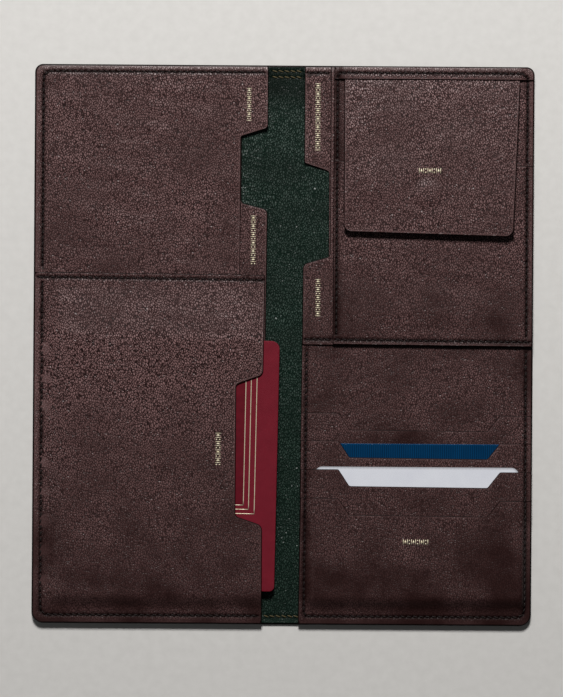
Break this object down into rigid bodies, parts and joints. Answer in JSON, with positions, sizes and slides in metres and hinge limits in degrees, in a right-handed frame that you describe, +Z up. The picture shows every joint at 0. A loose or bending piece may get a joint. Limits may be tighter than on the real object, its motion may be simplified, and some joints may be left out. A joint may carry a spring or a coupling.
{
  "type": "travel document organizer",
  "caption": "Bifold leather travel organizer lying open, with panels for tickets and bank notes, a passport pocket, card slots and a snapped coin pouch.",
  "frame": {"origin": "on the table under the middle of the spine, at the centre of the open organizer", "axes": "+X to the half with the coin pouch and card slots, +Y along the spine to the coin pouch's end, +Z up from the table"},
  "size_m": [0.21, 0.235, 0.0082],
  "materials": {
    "leather": "fine pebbled grain, semi-matt dark brown",
    "lining": "grained dark green lining leather",
    "board": "grey-brown stiffener board, hidden",
    "thread": "dark brown waxed thread",
    "nickel": "nickel-plated snap",
    "booklet": "burgundy book cloth with gold rules",
    "pages": "uncoated paper",
    "blue_card": "blue plastic with fine upright ribs",
    "white_card": "white satin plastic"
  },
  "bodies": {
    "right_half": {"cover_right": "leather", "cover_spine": "leather", "lining_spine": "lining", "board_right": "board", "lining_right": "lining", "foreign_notes_panel": "leather", "bank_notes_panel": "leather", "coin_pouch_back": "leather", "coin_pouch_front": "leather", "coin_flap_root": "leather", "snap_stud": "nickel", "snap_stud_rivet": "nickel", "card_backing": "leather", "card_slot_1": "leather", "card_slot_2": "leather", "card_slot_3": "leather", "card_slot_4": "leather", "seam_foreign_top": "thread", "seam_pouch_inner_top": "thread", "seam_pouch_outer_top": "thread", "seam_flap_root": "thread", "seam_pouch_outer": "thread", "seam_pouch_inner": "thread", "seam_pouch_bottom": "thread", "seam_cards": "thread"},
    "left_half": {"cover_left": "leather", "board_left": "board", "lining_left": "lining", "boarding_pass_panel": "leather", "ticket_panel": "leather", "passport_panel": "leather", "seam_left_upper": "thread", "seam_left_lower": "thread", "seam_passport_top": "thread"},
    "coin_flap_body": {"coin_flap": "leather", "coin_flap_lining": "lining", "snap_socket": "nickel", "snap_cap": "nickel"},
    "passport": {"passport_cover": "booklet", "passport_pages": "pages"},
    "blue_card": {"card_blue": "blue_card"},
    "white_card": {"card_white": "white_card"}
  },
  "joints": [
    {"name": "spine_fold", "type": "hinge", "parent": "right_half", "child": "left_half", "pos_m": [0, 0, 0.00675], "axis": [0, -1, 0], "range_deg": [-180, 0], "deforming": ["cover_spine", "lining_spine"]},
    {"name": "coin_flap_hinge", "type": "hinge", "parent": "right_half", "child": "coin_flap_body", "pos_m": [0.062, 0.1129, 0.00595], "axis": [-1, 0, 0], "range_deg": [0, 165]},
    {"name": "passport_slide", "type": "slide", "parent": "left_half", "child": "passport", "axis": [1, 0, 0], "range_m": [-0.014, 0.008]},
    {"name": "blue_card_slide", "type": "slide", "parent": "right_half", "child": "blue_card", "axis": [0, 1, 0], "range_m": [0, 0.038]},
    {"name": "white_card_slide", "type": "slide", "parent": "right_half", "child": "white_card", "axis": [0, 1, 0], "range_m": [0, 0.048]}
  ]
}
